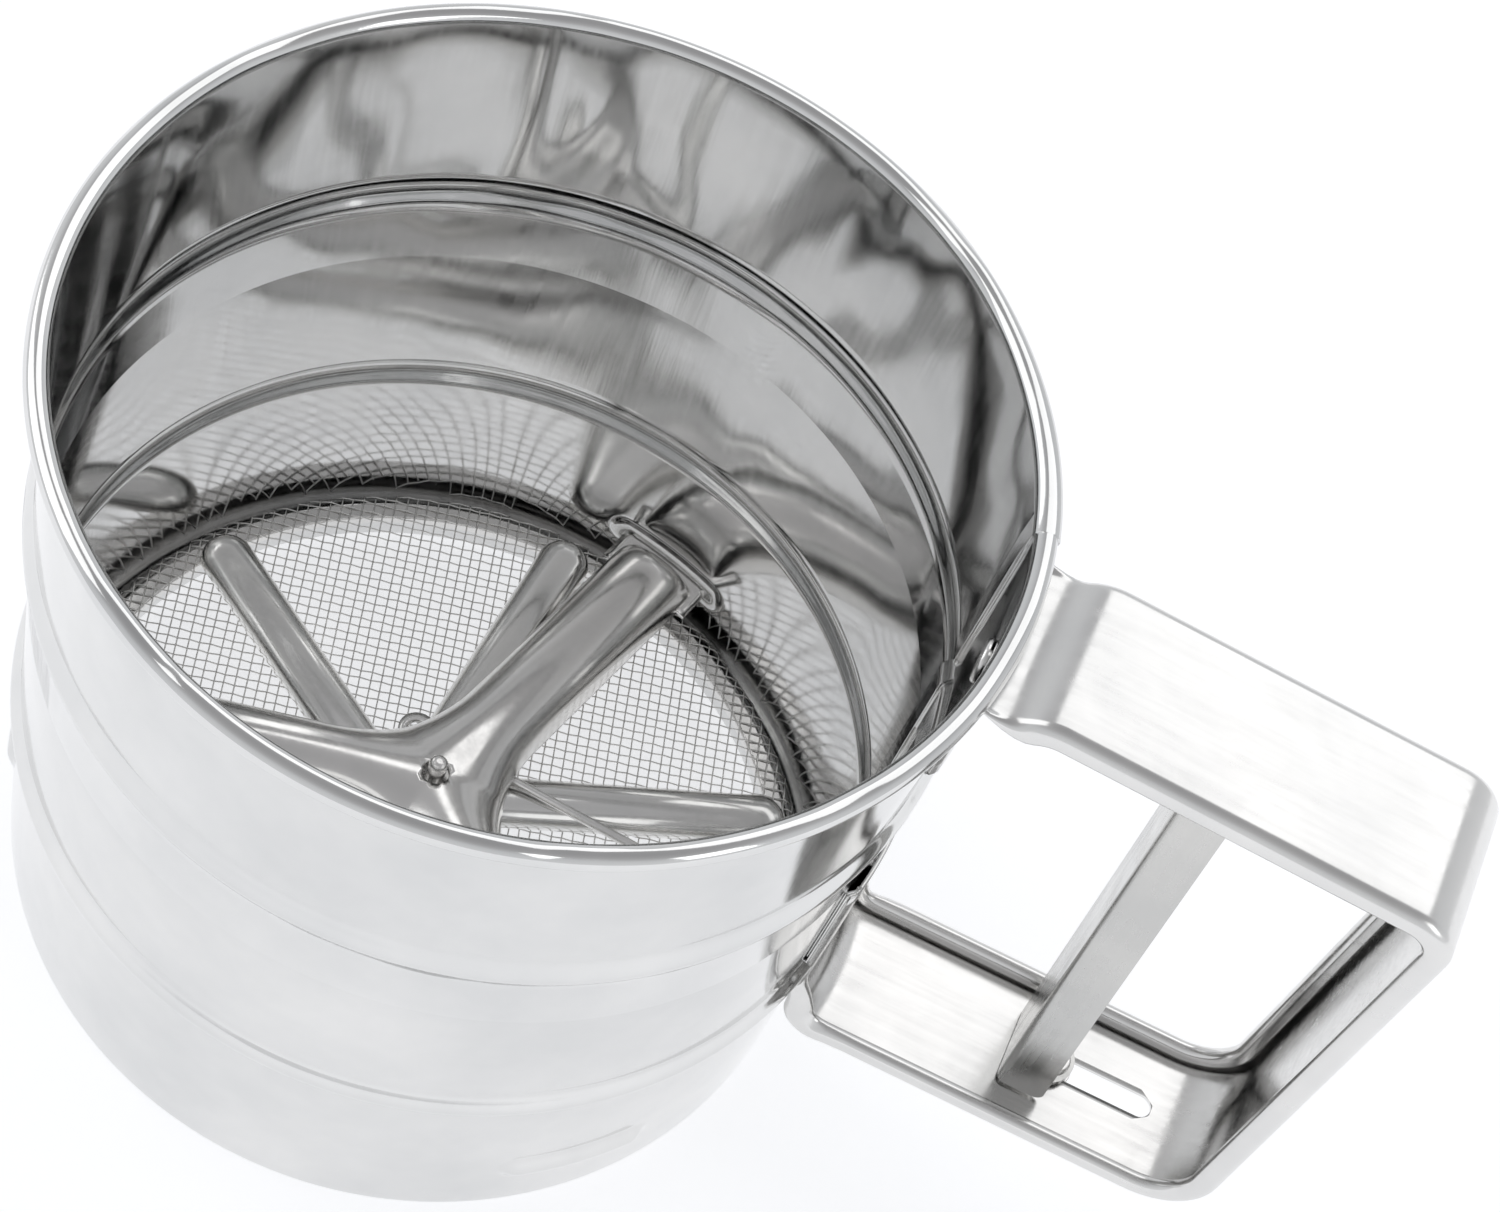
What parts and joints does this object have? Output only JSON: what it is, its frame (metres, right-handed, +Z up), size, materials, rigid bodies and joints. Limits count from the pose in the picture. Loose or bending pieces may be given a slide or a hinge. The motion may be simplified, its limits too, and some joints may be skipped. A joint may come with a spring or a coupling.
{
  "type": "flour sifter",
  "caption": "Steel cup sifter with a fine wire sieve, a pressed agitator under a three-armed bridge, and a loop handle with a squeeze trigger and return spring.",
  "frame": {"origin": "centre of the cup's foot circle, on the surface the cup stands on", "axes": "+Z up along the cup's axis, +X from the cup's axis towards the handle's grip, +Y completes the right-handed frame"},
  "size_m": [0.1605, 0.1078, 0.093],
  "materials": {
    "cup_steel": "polished",
    "handle_steel": "satin",
    "trigger_steel": "satin",
    "bridge_steel": "polished",
    "agitator_steel": "satin",
    "ring_steel": "satin",
    "sieve_wire": "satin",
    "spring_wire": "satin",
    "rod_wire": "satin",
    "rivet_steel": "satin"
  },
  "bodies": {
    "cup": {"cup_shell": "cup_steel", "mesh_screen": "sieve_wire", "mesh_ring": "ring_steel", "bridge": "bridge_steel", "return_spring": "spring_wire", "handle": "handle_steel", "handle_rivets": "rivet_steel"},
    "trigger": {"trigger": "trigger_steel", "guide_stud": "rivet_steel", "stud_washer": "rivet_steel", "pull_rod": "rod_wire", "rod_retainer": "rivet_steel"},
    "agitator": {"agitator": "agitator_steel", "pivot_pin": "rivet_steel", "thrust_washer": "rivet_steel"}
  },
  "joints": [
    {"name": "trigger_slide", "type": "slide", "parent": "cup", "child": "trigger", "axis": [1, 0, 0], "range_m": [0, 0.0115], "stiffness_N_per_m": 400, "springref_m": -0.003},
    {"name": "agitator_spin", "type": "hinge", "parent": "cup", "child": "agitator", "pos_m": [0, 0, 0.01], "axis": [0, 0, 1], "range_deg": [-72, 0]}
  ],
  "couplings": [
    {"joint": "agitator_spin", "follows": "trigger_slide", "rad_per_m": -106}
  ]
}
